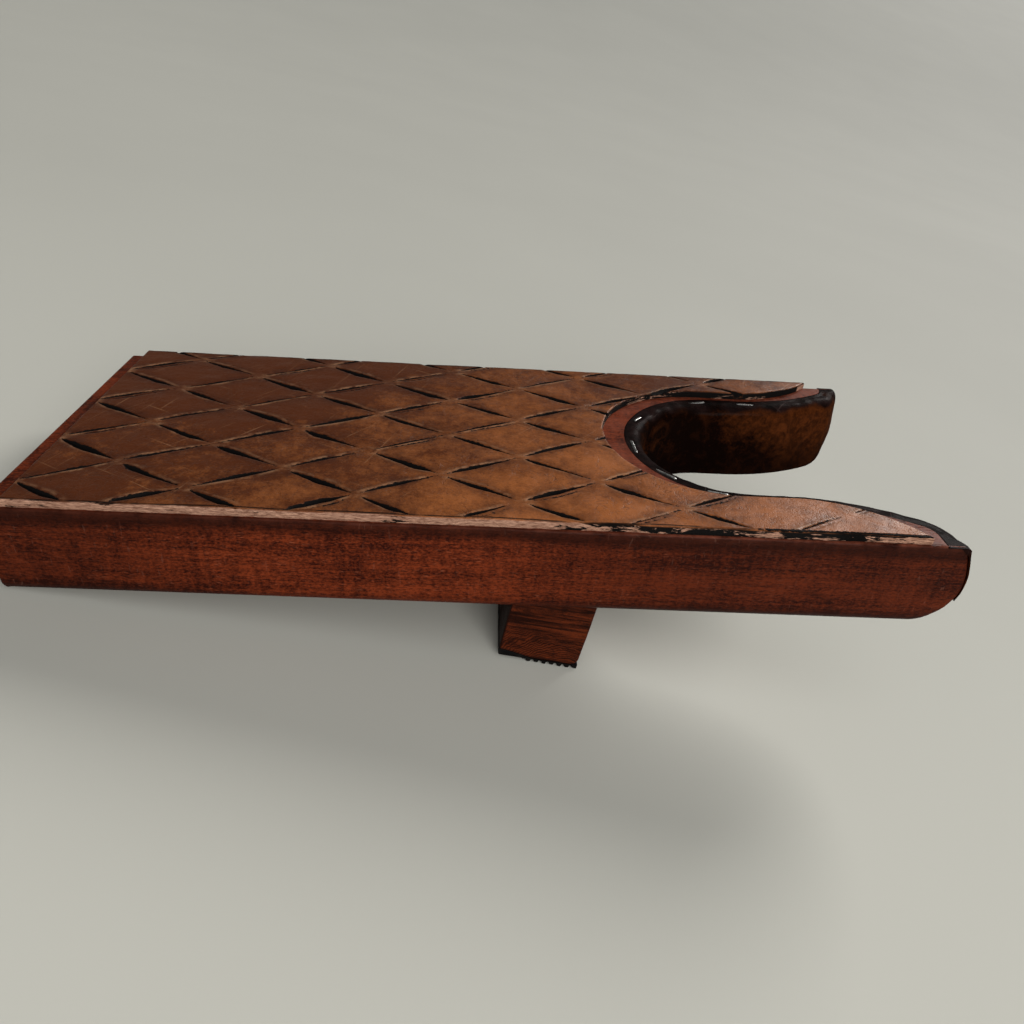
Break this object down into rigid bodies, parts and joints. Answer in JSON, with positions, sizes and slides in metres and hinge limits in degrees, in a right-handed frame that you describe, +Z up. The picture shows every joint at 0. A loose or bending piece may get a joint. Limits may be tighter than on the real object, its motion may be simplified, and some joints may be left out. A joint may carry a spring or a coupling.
{
  "type": "boot jack",
  "caption": "Wooden boot jack: sloping board with a tooled leather top, a lined heel notch between two prongs, and a cleat foot with a ribbed tread.",
  "frame": {"origin": "middle of the jack's footprint on the floor, as it stands in use on its heel end and its cleat", "axes": "+X along the jack's length towards the notch and the prong tips, +Y across it, +Z up from the floor"},
  "size_m": [0.2997, 0.12, 0.0785],
  "materials": {
    "board_wood": "reddish brown hardwood, stained and thinly varnished, satin",
    "tooled_leather": "veg-tanned leather, tooled with a diamond lattice, dyed tan brown and waxed, with black in the cuts and on the edges",
    "lining_leather": "dark brown napped leather on the wall, polished black on the rim",
    "staple_steel": "bright galvanised wire",
    "cleat_wood": "dark reddish brown hardwood with end grain on its ends, oiled",
    "tread_rubber": "black ribbed rubber, matt",
    "screw_steel": "yellowed zinc plate"
  },
  "bodies": {
    "root": {"board": "board_wood", "leather_top": "tooled_leather", "notch_lining": "lining_leather", "lining_staples": "staple_steel", "cleat": "cleat_wood", "cleat_tread": "tread_rubber", "cleat_screws": "screw_steel"}
  },
  "joints": []
}
